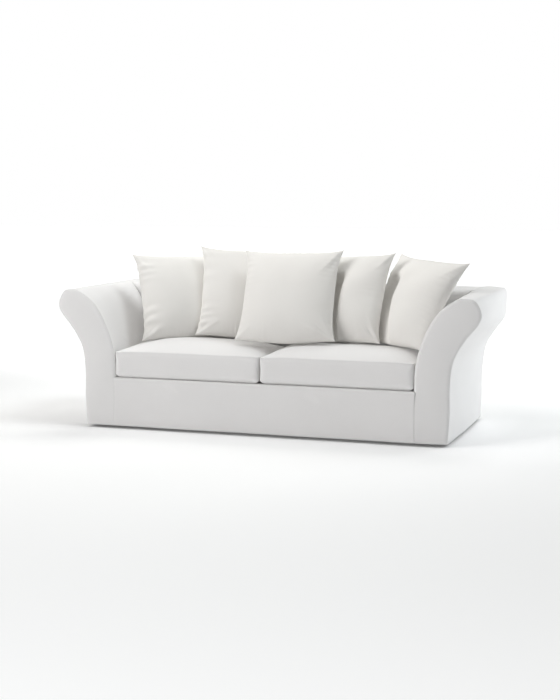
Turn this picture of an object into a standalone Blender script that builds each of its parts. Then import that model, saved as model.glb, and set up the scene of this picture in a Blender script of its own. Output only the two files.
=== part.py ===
"""Fitted loose cover for a three-seat sofa with flared, rolled arms, with its covered cushions.

The front faces -Y, +X is to the right seen from the front, +Z is up, and the origin is on the floor
under the middle of the cover. All sizes are in metres. The cover is hollow: the sofa goes inside it.
"""

import math

import bmesh
import bpy
import numpy as np
from mathutils import Euler, Vector

# The whole cover
DEPTH = 0.922  # from the arm fronts to the outside back
FRONT = -DEPTH / 2
REAR = DEPTH / 2
TOP = 0.735  # height of the back
CLOTH = 0.002  # thickness of the sewn cloth
SEAM = 0.0003  # gap between two pieces that are sewn together
EDGE = 0.012  # radius of the rounded edges along the panel seams
BUTT = SEAM + CLOTH / 4  # gap where a leaning or curled edge meets another piece
PANEL_INSET = EDGE + BUTT  # how far a flat panel stays inside such an edge's round

# The seat
DECK = 0.264  # height of the cloth under the seat cushions
SKIRT_HALF = 0.836  # half the width of the front panel
SEAT_INSIDE = 0.828  # half the width between the arms at the deck

# The inside back, which leans
BACK_FOOT = 0.050  # how far behind the middle it starts, at the deck
BACK_HEAD = 0.140  # and where it ends, below its rounded top edge
BACK_EDGE = 0.035  # radius of that edge
BACK_TOP_FRONT = BACK_HEAD + BACK_EDGE  # where the flat top of the back starts
MEETING_ROUNDS = 4  # repeats that find where an arm meets the leaning back

# One arm's outline, from the outside hem over the roll to the seat. Each row gives the distance
# from the middle of the sofa and the height, at the arm front and at the outside back.
ARM_OUTLINE = (
    # point              front x  front z  rear x   rear z
    ("outside_hem", 1.003, 0.000, 1.007, 0.000),
    ("outside_low", 1.010, 0.150, 1.011, 0.140),
    ("outside_middle", 1.010, 0.300, 1.013, 0.290),
    ("outside_hollow", 1.028, 0.424, 1.034, 0.415),
    ("under_roll", 1.087, 0.531, 1.090, 0.508),
    ("roll_low", 1.150, 0.610, 1.136, 0.575),
    ("roll_widest", 1.163, 0.665, 1.143, 0.645),
    ("roll_shoulder", 1.130, 0.728, 1.139, 0.722),
    ("roll_top", 1.078, 0.738, 1.100, 0.735),
    ("inside_top", 1.037, 0.728, 1.010, TOP),
    ("inside_slope", 0.950, 0.665, 0.950, 0.680),
    ("inside_middle", 0.875, 0.540, 0.878, 0.545),
    ("inside_low", 0.834, 0.400, 0.835, 0.400),
    ("inside_tuck", SEAT_INSIDE, DECK, SEAT_INSIDE, DECK),
)
TOP_SEAM_ROW = 9  # the outline's row where the arm meets the top of the back
OUTLINE_STEPS = 3  # steps between two rows of the outline
ARM_ROWS = 7  # rows of the arm wrap between the front and the inside back
TOP_ROWS = 3  # rows of cloth over the flat top of the back
CURL_STEPS = 3  # steps round a panel edge
STRIP_COLUMNS = 6  # steps across the panels that run from arm to arm

# The seat cushions
SEAT_GAP = 0.010  # between the two cushions
SEAT_SIDE_GAP = 0.003  # between a cushion and an arm
SEAT_BACK_GAP = 0.004  # between a cushion and the foot of the inside back
SEAT_BORDER = 0.405  # height of the top seam
SEAT_CROWN = 0.041  # rise of the top above that seam
SEAT_CROWN_EDGE = 8  # power that keeps the crown level until close to the seams
SEAT_CROWN_FALL = 0.7  # power that rounds it off there
SEAT_CORNER = 0.045  # radius of the cushion's corners seen from above
SEAT_BULGE = 0.004  # how far the border swells
SEAT_CUTS = 9  # rows of points across each side

# The scatter cushions
SCATTER_WIDTH = 0.560
SCATTER_HEIGHT = 0.541
SCATTER_SIDES_IN = 0.09  # how far a side pulls in between its ears, as a share of half the width
SCATTER_ENDS_IN = 0.072  # how far the top and bottom do, as a share of half the height
SCATTER_FILL_EDGE = 2.2  # power that keeps the fill thick towards the seams
SCATTER_FILL_FALL = 0.55  # power that rounds it off there
SCATTER_EARS = 4  # power that keeps that pull away from the ears
SCATTER_STEPS = 12
SEWN_WITHIN = 0.0001  # points of the two layers closer than this are one
# How full each one is in front and behind, and how much fuller its front is at the right end, as a
# share; where a cushion leans against another it is pressed thinner.
SCATTER_CUSHIONS = (
    # name             x, y, z of the middle      turn  lean  roll  front  back  fuller at right
    ("back_cushion_1", (-0.586, -0.033, 0.680), 35.2, -30.1, 0.0, 0.100, 0.050, -0.35),
    ("back_cushion_2", (-0.234, 0.018, 0.706), 20.0, -26.3, 3.0, 0.090, 0.035, -0.15),
    ("back_cushion_3", (0.069, -0.152, 0.712), 3.9, -28.9, -0.8, 0.100, 0.035, 0.00),
    ("back_cushion_4", (0.316, -0.010, 0.691), -8.7, -29.2, -2.2, 0.098, 0.028, 0.30),
    ("back_cushion_5", (0.715, -0.029, 0.688), -33.9, -34.3, 3.7, 0.100, 0.050, 0.40),
)

COTTON_WHITE = (0.83, 0.83, 0.80, 1.0)


def clear_scene():
    for found in list(bpy.data.objects):
        bpy.data.objects.remove(found)


def collection_named(name):
    made = bpy.data.collections.new(name)
    bpy.context.scene.collection.children.link(made)
    return made


def cotton_material(name):
    made = bpy.data.materials.new(name)
    made.use_nodes = True
    shader = made.node_tree.nodes["Principled BSDF"]
    shader.inputs["Base Color"].default_value = COTTON_WHITE
    shader.inputs["Roughness"].default_value = 0.9
    shader.inputs["Metallic"].default_value = 0.0
    return made


def add_part(collection, name, data):
    """Links a named object with its own cotton material."""
    part = bpy.data.objects.new(name, data)
    data.materials.append(cotton_material(name))
    collection.objects.link(part)
    return part


def sew_thickness(part):
    """Gives an open panel the thickness of the cloth, on its inner side."""
    wall = part.modifiers.new("cloth", "SOLIDIFY")
    wall.thickness = CLOTH
    wall.offset = -1.0
    wall.use_even_offset = True


def smooth_steps(knots, steps):
    """Points on a smooth curve through the knots, with that many steps between two of them."""
    ends = np.vstack([2 * knots[0] - knots[1], knots, 2 * knots[-1] - knots[-2]])
    points = []
    for row in range(len(knots) - 1):
        before, start, end, after = ends[row : row + 4]
        for step in range(steps):
            t = step / steps
            pull_in = (end - before) / 2 * (t - 2 * t**2 + t**3)
            pull_out = (after - start) / 2 * (t**3 - t**2)
            ease = t * t * (3 - 2 * t)
            points.append(start + (end - start) * ease + pull_in + pull_out)
    points.append(knots[-1])
    return np.array(points)


ARM_TABLE = np.array([row[1:] for row in ARM_OUTLINE])
ARM_FRONT_LINE = smooth_steps(ARM_TABLE[:, :2], OUTLINE_STEPS)
ARM_REAR_LINE = smooth_steps(ARM_TABLE[:, 2:], OUTLINE_STEPS)
TOP_SEAM = TOP_SEAM_ROW * OUTLINE_STEPS  # the column of the arm wrap along the top seam


def arm_line(y):
    """The arm's outline at that depth, as rows of distance from the middle and height.

    It turns steadily from the front's round scroll to the square section that it has along the top
    of the back.
    """
    share = min(1.0, (y - FRONT) / (BACK_TOP_FRONT - FRONT))
    return ARM_FRONT_LINE * (1 - share) + ARM_REAR_LINE * share


def inward(line):
    """Unit directions from each point of an arm outline into the arm."""
    along = np.gradient(line, axis=0)
    along /= np.linalg.norm(along, axis=1)[:, None]
    return np.stack([-along[:, 1], along[:, 0]], axis=1)


def arm_line_inset(y, distance):
    """The arm's outline moved into the arm, with its two ends kept at their height."""
    line = arm_line(y)
    moved = line + inward(line) * distance
    moved[0, 1] = line[0, 1]
    moved[-1, 1] = line[-1, 1]
    return moved


def back_face(z):
    """How far behind the middle the inside back is at that height, with its rounded top edge."""
    edge_start = TOP - BACK_EDGE
    lean = (BACK_HEAD - BACK_FOOT) / (edge_start - DECK)
    if z <= edge_start:
        return BACK_FOOT + (z - DECK) * lean
    rise = min((z - edge_start) / BACK_EDGE, 1.0)
    return BACK_HEAD + BACK_EDGE * (1 - math.sqrt(1 - rise * rise))


def arm_meets_back(column):
    """Where a column of the inside arm meets the face of the inside back."""
    y = BACK_TOP_FRONT
    for _ in range(MEETING_ROUNDS):
        y = back_face(arm_line(y)[column][1])
    x, z = arm_line(y)[column]
    return x, y, z


def curl(step):
    """How far in and how far along the edge's round has come after a step from its outer side."""
    angle = math.pi / 2 * step / CURL_STEPS
    return EDGE * (1 - math.cos(angle)), EDGE * (1 - math.sin(angle))


def grid_mesh(name, rows, flip=False):
    """A mesh through rows of points; a point that is None leaves its faces out."""
    build = bmesh.new()
    corners = [[build.verts.new(p) if p is not None else None for p in row] for row in rows]
    for low, high in zip(corners, corners[1:]):
        for a, b, c, d in zip(low, low[1:], high[1:], high):
            if None not in (a, b, c, d):
                build.faces.new((d, c, b, a) if flip else (a, b, c, d))
    mesh = bpy.data.meshes.new(name)
    build.to_mesh(mesh)
    build.free()
    mesh.shade_smooth()
    return mesh


def arm_row(line, y, side, count):
    """One row of an arm wrap: its first points at a depth, and nothing past them."""
    points = [(side * x, y, z) for x, z in line[:count]]
    return points + [None] * (len(line) - count)


def arm_wrap(collection, name, side):
    """The arm's cover: it curls in at the front facing and, above the top seam, at the rear."""
    columns = len(ARM_FRONT_LINE)
    rows = []
    for step in range(CURL_STEPS, 0, -1):
        inset, along = curl(step)
        rows.append(arm_row(arm_line_inset(FRONT, inset), FRONT + along, side, columns))
    for step in range(ARM_ROWS + 1):
        rows.append(arm_row_to_back(step / ARM_ROWS, side))
    for y in np.linspace(BACK_TOP_FRONT, REAR - EDGE, TOP_ROWS)[1:]:
        rows.append(arm_row(arm_line(y), y, side, TOP_SEAM + 1))
    for step in range(1, CURL_STEPS + 1):
        inset, along = curl(step)
        line = arm_line_inset(REAR, inset)
        rows.append(arm_row(line, REAR - along, side, TOP_SEAM + 1))
    for row in rows:
        row[-1] = raised(row[-1])
    part = add_part(collection, name, grid_mesh(name, rows, flip=side > 0))
    sew_thickness(part)
    return part


def raised(point):
    """The foot of the inside arm, kept just off the deck."""
    return None if point is None else (point[0], point[1], point[2] + SEAM)


def arm_row_to_back(share, side):
    """A row of the arm wrap between its front edge and the inside back, which the last row meets."""
    points = []
    for column in range(len(ARM_FRONT_LINE)):
        end = BACK_TOP_FRONT
        if column > TOP_SEAM:
            end = arm_meets_back(column)[1] - BUTT
        y = FRONT + EDGE + (end - FRONT - EDGE) * share
        x, z = arm_line(y)[column]
        points.append((side * x, y, z))
    return points


def flat_panel(collection, name, outline, y):
    """A flat piece cut to an outline of x and z, with its outer side at that depth."""
    curve = bpy.data.curves.new(name, "CURVE")
    curve.dimensions = "2D"
    curve.fill_mode = "BOTH"
    curve.extrude = CLOTH / 2
    spline = curve.splines.new("POLY")
    spline.points.add(len(outline) - 1)
    for point, (x, z) in zip(spline.points, outline):
        point.co = (x, z, 0.0, 1.0)
    spline.use_cyclic_u = True
    part = add_part(collection, name, curve)
    part.rotation_euler = (math.pi / 2, 0.0, 0.0)
    part.location = (0.0, y, 0.0)
    return part


def arm_facing(collection, name, side):
    """The shaped front of an arm, inside the round edge of its wrap."""
    outline = [tuple(p) for p in arm_line_inset(FRONT, PANEL_INSET)]
    x, z = outline[-1]
    outline[-1] = (x, DECK)
    outline.append((SKIRT_HALF + SEAM, DECK))
    outline.append((SKIRT_HALF + SEAM, 0.0))
    outline = [(side * x, z) for x, z in outline]
    return flat_panel(collection, name, outline, FRONT + CLOTH / 2)


def outside_back(collection):
    """The flat rear panel, as wide as the arms, inside the round edges of their wraps."""
    half = [tuple(p) for p in arm_line_inset(REAR, PANEL_INSET)[: TOP_SEAM + 1]]
    half[-1] = (half[-1][0], TOP - PANEL_INSET)
    outline = half + [(-x, z) for x, z in reversed(half)]
    return flat_panel(collection, "back_outside", outline, REAR - CLOTH / 2)


def strip(collection, name, profile, half_widths, columns):
    """A panel whose profile of depth and height keeps going across the sofa."""
    rows = []
    for (y, z), half in zip(profile, half_widths):
        rows.append([(x, y, z) for x in np.linspace(-half, half, columns + 1)])
    part = add_part(collection, name, grid_mesh(name, rows))
    sew_thickness(part)
    return part


def inside_back(collection):
    """The leaning back panel, its rounded top edge and the top, down to the rear seam.

    Up to the top it is cut to the arms, and a little wider, so that it lies behind their edges.
    """
    met = [arm_meets_back(column) for column in range(len(ARM_FRONT_LINE) - 1, TOP_SEAM, -1)]
    profile = [(y, z) for x, y, z in met]
    widths = [x + CLOTH for x, y, z in met[:-1]] + [met[-1][0] - BUTT]
    profile[0] = (profile[0][0], DECK + BUTT)
    top = [(y, TOP) for y in np.linspace(BACK_TOP_FRONT, REAR - EDGE, TOP_ROWS)]
    rear = [(REAR - along, TOP - inset) for inset, along in map(curl, range(1, CURL_STEPS + 1))]
    profile += top + rear
    widths += [ARM_REAR_LINE[TOP_SEAM][0] - BUTT] * len(top + rear)
    return strip(collection, "back_inside", profile, widths, STRIP_COLUMNS)


def front_border(collection):
    """The panel below the seat cushions, which turns in at its top to meet the deck."""
    upright = [(FRONT, 0.0), (FRONT, DECK / 2), (FRONT, DECK - EDGE)]
    turns = [math.pi / 2 * step / CURL_STEPS for step in range(1, CURL_STEPS + 1)]
    turned = [
        (FRONT + EDGE * (1 - math.cos(a)), DECK - EDGE * (1 - math.sin(a))) for a in turns
    ]
    profile = upright + turned
    return strip(collection, "front_panel", profile, [SKIRT_HALF] * len(profile), STRIP_COLUMNS)


def seat_deck(collection):
    """The cloth under the seat cushions, from the front panel to the foot of the inside back."""
    profile = [(FRONT + EDGE + BUTT, DECK), (BACK_FOOT + CLOTH, DECK)]
    half = SEAT_INSIDE + CLOTH
    return strip(collection, "seat_deck", profile, [half, half], 1)


def rounded_plan(u, v, half_x, half_y):
    """A point of a rectangle with rounded corners, for u and v from -1 to 1."""
    x = u * half_x
    y = v * half_y
    over_x = abs(x) - (half_x - SEAT_CORNER)
    over_y = abs(y) - (half_y - SEAT_CORNER)
    if over_x > 0 and over_y > 0:
        reach = max(over_x, over_y)
        length = math.hypot(over_x, over_y)
        x = math.copysign(half_x - SEAT_CORNER + over_x * reach / length, x)
        y = math.copysign(half_y - SEAT_CORNER + over_y * reach / length, y)
    return x, y


def seat_crown(u, v):
    """How far the top of a seat cushion rises above its seam, for u and v from -1 to 1."""
    level = (1 - u**SEAT_CROWN_EDGE) * (1 - v**SEAT_CROWN_EDGE)
    return SEAT_CROWN * level**SEAT_CROWN_FALL


def seat_cushion(collection, name, left, right):
    """A boxed cushion with a crowned top and a border that swells a little."""
    bottom = DECK + SEAM
    depth = back_face(DECK) - SEAT_BACK_GAP - FRONT
    half_x = (right - left) / 2
    half_y = depth / 2 - SEAT_BULGE
    middle = Vector(((left + right) / 2, FRONT + SEAT_BULGE + half_y, 0.0))
    build = bmesh.new()
    bmesh.ops.create_cube(build, size=2.0)
    bmesh.ops.subdivide_edges(build, edges=build.edges[:], cuts=SEAT_CUTS, use_grid_fill=True)
    for corner in build.verts:
        u, v, w = (math.sin(math.pi / 2 * share) for share in corner.co)
        x, y = rounded_plan(u, v, half_x - SEAT_BULGE, half_y)
        rise = (w + 1) / 2
        swell = 1 + SEAT_BULGE * 4 * rise * (1 - rise) / half_x
        z = bottom + (SEAT_BORDER - bottom) * rise
        if math.isclose(w, 1.0):
            z += seat_crown(u, v)
        corner.co = (x * swell, y * swell, z)
    mesh = bpy.data.meshes.new(name)
    build.to_mesh(mesh)
    build.free()
    mesh.shade_smooth()
    part = add_part(collection, name, mesh)
    part.location = middle
    return part


def scatter_point(u, w, fullness):
    """A point of a scatter cushion's envelope before it is turned, for u and w from -1 to 1."""
    level = max(0.0, (1 - abs(u) ** SCATTER_FILL_EDGE) * (1 - abs(w) ** SCATTER_FILL_EDGE))
    x = u * (1 - SCATTER_SIDES_IN * (1 - w**SCATTER_EARS)) * SCATTER_WIDTH / 2
    z = w * (1 - SCATTER_ENDS_IN * (1 - u**SCATTER_EARS)) * SCATTER_HEIGHT / 2
    return x, fullness * level**SCATTER_FILL_FALL, z


def split_at_ears(build):
    """Splits each corner face from the ear inwards, so that its two layers stay apart there."""
    for ear in [corner for corner in build.verts if len(corner.link_edges) == 2]:
        for face in list(ear.link_faces):
            corners = list(face.verts)
            inner = corners[corners.index(ear) - 2]
            bmesh.utils.face_split(face, ear, inner)


def scatter_cushion(collection, name, middle, turn, lean, roll, front, back, fuller):
    """An envelope of two squares sewn edge to edge and filled, with ears at its corners."""
    build = bmesh.new()
    for _ in range(2):
        bmesh.ops.create_grid(build, x_segments=SCATTER_STEPS, y_segments=SCATTER_STEPS, size=1.0)
    faces = build.faces[:]
    back_faces = faces[len(faces) // 2 :]
    back_corners = {corner for face in back_faces for corner in face.verts}
    for corner in build.verts:
        u, w, _ = corner.co
        fullness = back if corner in back_corners else -front * (1 + fuller * u)
        corner.co = scatter_point(u, w, fullness)
    bmesh.ops.reverse_faces(build, faces=back_faces)
    bmesh.ops.remove_doubles(build, verts=build.verts[:], dist=SEWN_WITHIN)
    split_at_ears(build)
    mesh = bpy.data.meshes.new(name)
    build.to_mesh(mesh)
    build.free()
    mesh.shade_smooth()
    part = add_part(collection, name, mesh)
    part.rotation_euler = cushion_turn(math.radians(lean), math.radians(roll), math.radians(turn))
    part.location = middle
    return part


def cushion_turn(lean, roll, turn):
    """The rotation that rolls a cushion in its own plane, leans it back and then turns it."""
    rolled = Euler((0.0, roll, 0.0)).to_matrix()
    leaned = Euler((lean, 0.0, 0.0)).to_matrix()
    turned = Euler((0.0, 0.0, turn)).to_matrix()
    return (turned @ leaned @ rolled).to_euler("XYZ")


def build_cover():
    clear_scene()
    cover = collection_named("sofa_slipcover")
    outside_back(cover)
    inside_back(cover)
    arm_wrap(cover, "arm_left", -1)
    arm_wrap(cover, "arm_right", 1)
    arm_facing(cover, "arm_front_left", -1)
    arm_facing(cover, "arm_front_right", 1)
    seat_deck(cover)
    front_border(cover)
    inner = SEAT_GAP / 2
    outer = SEAT_INSIDE - SEAT_SIDE_GAP
    seat_cushion(cover, "seat_cushion_left", -outer, -inner)
    seat_cushion(cover, "seat_cushion_right", inner, outer)
    for row in SCATTER_CUSHIONS:
        scatter_cushion(cover, *row)


build_cover()
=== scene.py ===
"""Looks of a fitted slipcover in white cotton: sewn panels, filled cushions, light and camera."""

import math

import bmesh
import bpy
import numpy as np
from mathutils import Matrix, Vector
from mathutils.bvhtree import BVHTree


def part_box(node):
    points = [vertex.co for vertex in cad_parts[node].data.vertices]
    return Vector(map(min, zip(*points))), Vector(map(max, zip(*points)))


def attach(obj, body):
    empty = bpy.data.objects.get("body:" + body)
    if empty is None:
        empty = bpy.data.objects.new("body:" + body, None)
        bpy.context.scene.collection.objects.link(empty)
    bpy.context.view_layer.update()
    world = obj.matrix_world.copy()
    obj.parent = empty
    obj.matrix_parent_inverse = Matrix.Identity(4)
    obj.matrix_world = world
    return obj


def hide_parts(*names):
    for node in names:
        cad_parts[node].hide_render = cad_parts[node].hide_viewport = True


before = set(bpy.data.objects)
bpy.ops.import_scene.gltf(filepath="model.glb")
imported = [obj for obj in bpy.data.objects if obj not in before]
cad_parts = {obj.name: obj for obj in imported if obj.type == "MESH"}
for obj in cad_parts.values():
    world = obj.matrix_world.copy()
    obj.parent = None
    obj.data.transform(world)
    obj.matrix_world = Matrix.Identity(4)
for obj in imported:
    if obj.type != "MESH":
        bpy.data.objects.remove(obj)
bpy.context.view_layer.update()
BODY = "root"

# --- Sizes of the cover, in metres. The front faces -Y and the floor is at z = 0.

SKIRT_LOW, SKIRT_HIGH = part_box("front_panel")
FRONT = SKIRT_LOW.y
SKIRT_HALF = SKIRT_HIGH.x
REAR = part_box("back_outside")[1].y
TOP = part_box("back_inside")[1].z
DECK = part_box("seat_deck")[1].z
CLOTH = 0.002
EDGE = 0.012  # radius of the rounded edges along the seams
SEAM_GAP = 0.0006
PANEL_INSET = EDGE + SEAM_GAP
SEAT_INSIDE = 0.828  # half the width between the arms at the seat
BACK_FOOT = 0.050  # how far behind the middle the inside back is at the seat
BACK_HEAD = 0.140  # and where its rounded top edge starts
BACK_EDGE = 0.035  # radius of that edge
BACK_TOP_FRONT = BACK_HEAD + BACK_EDGE

# An arm's outline from the outside hem over the roll to the seat: distance from the middle and
# height, at the arm front and along the top of the back.
ARM_OUTLINE = (
    # point              front x  front z  rear x   rear z
    ("outside_hem", 1.003, 0.000, 1.007, 0.000),
    ("outside_low", 1.010, 0.150, 1.011, 0.140),
    ("outside_middle", 1.010, 0.300, 1.013, 0.290),
    ("outside_hollow", 1.028, 0.424, 1.034, 0.415),
    ("under_roll", 1.087, 0.531, 1.090, 0.508),
    ("roll_low", 1.150, 0.610, 1.136, 0.575),
    ("roll_widest", 1.163, 0.665, 1.143, 0.645),
    ("roll_shoulder", 1.130, 0.728, 1.139, 0.722),
    ("roll_top", 1.078, 0.738, 1.100, 0.735),
    ("inside_top", 1.037, 0.728, 1.010, TOP),
    ("inside_slope", 0.950, 0.665, 0.950, 0.680),
    ("inside_middle", 0.875, 0.540, 0.878, 0.545),
    ("inside_low", 0.834, 0.400, 0.835, 0.400),
    ("inside_tuck", SEAT_INSIDE, DECK, SEAT_INSIDE, DECK),
)
TOP_SEAM_ROW = 9  # where the arm's wrap meets the top of the back
OUTLINE_STEPS = 18  # steps between two rows of the outline
CURL_STEPS = 5  # steps round a rounded edge

# The seat cushions.
SEAT_BORDER = 0.405  # height of the top seam
SEAT_CORNER = 0.012  # radius of the corners seen from above
SEAT_TUCK = 0.018  # radius of the border's foot
SEAT_WIDER = 0.0025  # how far a side swells past its plain solid
SEAT_CREST = -0.17  # depth at which the top is highest
SEAT_CRESTS = {
    # name: distance from the middle of the cover and height of the top's crest, from left to right
    "seat_cushion_left": (
        (-0.83, 0.424), (-0.75, 0.441), (-0.68, 0.454), (-0.60, 0.465), (-0.45, 0.463),
        (-0.30, 0.458), (-0.16, 0.449), (-0.08, 0.440), (0.0, 0.424),
    ),
    "seat_cushion_right": (
        (0.0, 0.420), (0.05, 0.438), (0.10, 0.451), (0.16, 0.458), (0.33, 0.459),
        (0.56, 0.454), (0.70, 0.451), (0.77, 0.446), (0.83, 0.436),
    ),
}

# The scatter cushions: middle, turn, lean and roll in degrees, how far they are filled, and how
# much fuller the front is at the right end.
SCATTER_WIDTH = 0.560
SCATTER_HEIGHT = 0.541
SIDES_IN = 0.09  # how far a side pulls in between its ears, as a share of half the width
ENDS_IN = 0.072  # how far the top and bottom do, as a share of half the height
SCATTER_CUSHIONS = (
    # name             middle                     turn  lean  roll  front  back  fuller
    ("back_cushion_1", (-0.586, -0.033, 0.680), 35.2, -30.1, 0.0, 0.100, 0.050, -0.35),
    ("back_cushion_2", (-0.234, 0.018, 0.706), 20.0, -26.3, 3.0, 0.090, 0.035, -0.15),
    ("back_cushion_3", (0.069, -0.152, 0.712), 3.9, -28.9, -0.8, 0.100, 0.035, 0.00),
    ("back_cushion_4", (0.316, -0.010, 0.691), -8.7, -29.2, -2.2, 0.098, 0.028, 0.30),
    ("back_cushion_5", (0.715, -0.029, 0.688), -33.9, -34.3, 3.7, 0.100, 0.050, 0.40),
)
TINY = 1e-9  # kept between a length and nothing where it divides


# --- Outlines


def smooth_steps(knots, steps):
    """Points on a smooth curve through the knots, with that many steps between two of them."""
    ends = np.vstack([2 * knots[0] - knots[1], knots, 2 * knots[-1] - knots[-2]])
    points = []
    for row in range(len(knots) - 1):
        before, start, end, after = ends[row : row + 4]
        for step in range(steps):
            t = step / steps
            pull_in = (end - before) / 2 * (t - 2 * t**2 + t**3)
            pull_out = (after - start) / 2 * (t**3 - t**2)
            ease = t * t * (3 - 2 * t)
            points.append(start + (end - start) * ease + pull_in + pull_out)
    points.append(knots[-1])
    return np.array(points)


def even_then_close(count, first):
    """Shares from -1 to 1 that lie closer together towards both ends."""
    share = np.linspace(-1, 1, count + 1)
    return share * first + np.sin(math.pi / 2 * share) * (1 - first)


ARM_TABLE = np.array([row[1:] for row in ARM_OUTLINE])
ARM_FRONT_LINE = smooth_steps(ARM_TABLE[:, :2], OUTLINE_STEPS)
ARM_REAR_LINE = smooth_steps(ARM_TABLE[:, 2:], OUTLINE_STEPS)
TOP_SEAM = TOP_SEAM_ROW * OUTLINE_STEPS


def arm_line(y):
    """The arm's outline at that depth: a round scroll in front that turns square at the back."""
    share = min(1.0, (y - FRONT) / (BACK_TOP_FRONT - FRONT))
    return ARM_FRONT_LINE * (1 - share) + ARM_REAR_LINE * share


def arm_line_inset(y, distance):
    """The arm's outline moved into the arm, with its two ends kept at their height."""
    line = arm_line(y)
    along = np.gradient(line, axis=0)
    along /= np.linalg.norm(along, axis=1)[:, None]
    moved = line + np.stack([-along[:, 1], along[:, 0]], axis=1) * distance
    moved[0, 1] = line[0, 1]
    moved[-1, 1] = line[-1, 1]
    return moved


def back_face(z):
    """How far behind the middle the inside back is at that height, with its rounded top edge."""
    edge_start = TOP - BACK_EDGE
    lean = (BACK_HEAD - BACK_FOOT) / (edge_start - DECK)
    if z <= edge_start:
        return BACK_FOOT + (z - DECK) * lean
    rise = min((z - edge_start) / BACK_EDGE, 1.0)
    return BACK_HEAD + BACK_EDGE * (1 - math.sqrt(1 - rise * rise))


def arm_meets_back(column):
    """Where a column of the inside arm meets the face of the inside back."""
    y = BACK_TOP_FRONT
    for _ in range(4):
        y = back_face(arm_line(y)[column][1])
    x, z = arm_line(y)[column]
    return x, y, z


def curl(step, radius=EDGE):
    """How far in and how far along an edge's round has come after a step from its outer side."""
    angle = math.pi / 2 * step / CURL_STEPS
    return radius * (1 - math.cos(angle)), radius * (1 - math.sin(angle))


# --- Materials


def feed(tree, socket, value):
    """Links a socket to a value that comes from a node, or sets it."""
    value = value.socket if isinstance(value, Wire) else value
    if isinstance(value, bpy.types.NodeSocket):
        tree.links.new(value, socket)
    else:
        socket.default_value = value


def add_node(tree, kind, settings=None, sockets=None):
    """Any node of a tree: its settings are made first, then the values and links of its sockets."""
    made = tree.nodes.new(kind)
    for key, value in (settings or {}).items():
        setattr(made, key, value)
    for key, value in (sockets or {}).items():
        feed(tree, made.inputs[key], value)
    return made


class Wire:
    """A shader value that can be used in Python sums, each of which adds its Math nodes."""

    def __init__(self, paint, socket):
        self.paint = paint
        self.socket = socket

    def _math(self, operation, *values):
        node = self.paint.node("ShaderNodeMath", {"operation": operation}, dict(enumerate(values)))
        return Wire(self.paint, node.outputs[0])

    def __add__(self, other):
        return self._math("ADD", self, other)

    def __radd__(self, other):
        return self._math("ADD", other, self)

    def __sub__(self, other):
        return self._math("SUBTRACT", self, other)

    def __rsub__(self, other):
        return self._math("SUBTRACT", other, self)

    def __mul__(self, other):
        return self._math("MULTIPLY", self, other)

    def __rmul__(self, other):
        return self._math("MULTIPLY", other, self)

    def sine(self):
        return self._math("SINE", self)

    def absolute(self):
        return self._math("ABSOLUTE", self)

    def at_most(self, other):
        return self._math("MINIMUM", self, other)

    def at_least(self, other):
        return self._math("MAXIMUM", self, other)


class Paint:
    """A material and the nodes that feed its shader."""

    def __init__(self, name):
        self.material = bpy.data.materials.new(name)
        self.material.use_nodes = True
        self.tree = self.material.node_tree
        self.shader = self.tree.nodes["Principled BSDF"]

    def node(self, kind, settings=None, sockets=None):
        return add_node(self.tree, kind, settings, sockets)

    def finish(self, values):
        """Feeds the shader's sockets by name."""
        for name, value in values.items():
            feed(self.tree, self.shader.inputs[name], value)
        return self.material

    def noise(self, vector, scale, detail=2.0, roughness=0.5):
        sockets = {"Vector": vector, "Scale": scale, "Detail": detail, "Roughness": roughness}
        return Wire(self, self.node("ShaderNodeTexNoise", None, sockets).outputs["Fac"])

    def stretched(self, vector, scale):
        """A vector stretched by a scale for each of its directions."""
        sockets = {"Vector": vector, "Scale": scale}
        return self.node("ShaderNodeMapping", None, sockets).outputs["Vector"]

    def blend(self, share, first, second):
        """A colour between two colours."""
        sockets = {"Factor": share, 6: first, 7: second}
        return self.node("ShaderNodeMix", {"data_type": "RGBA"}, sockets).outputs[2]


BLACK = (0.0, 0.0, 0.0, 1.0)
WHITE = (1.0, 1.0, 1.0, 1.0)
THREAD_PITCH = 0.0011  # from one thread of the weave to the next
WEAVE_DEPTH = 0.00016
SLUBS_ALONG = 18.0  # slubs in a metre of a thread
SLUBS_ACROSS = 420.0  # and in a metre across the threads
TONE_PATCHES = 3.5  # patches of darker tone in a metre
TONE_GAIN = 1.2  # contrast of those patches
TONE_SHIFT = 0.1  # and what is taken off them
SLUB_TONE = 0.35  # how much the slubs lighten and darken the tone
WEAVE_RELIEF, SLUB_RELIEF = 0.5, 0.9
ROUGHNESS, WEAVE_ROUGHNESS = 0.92, 0.05


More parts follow.
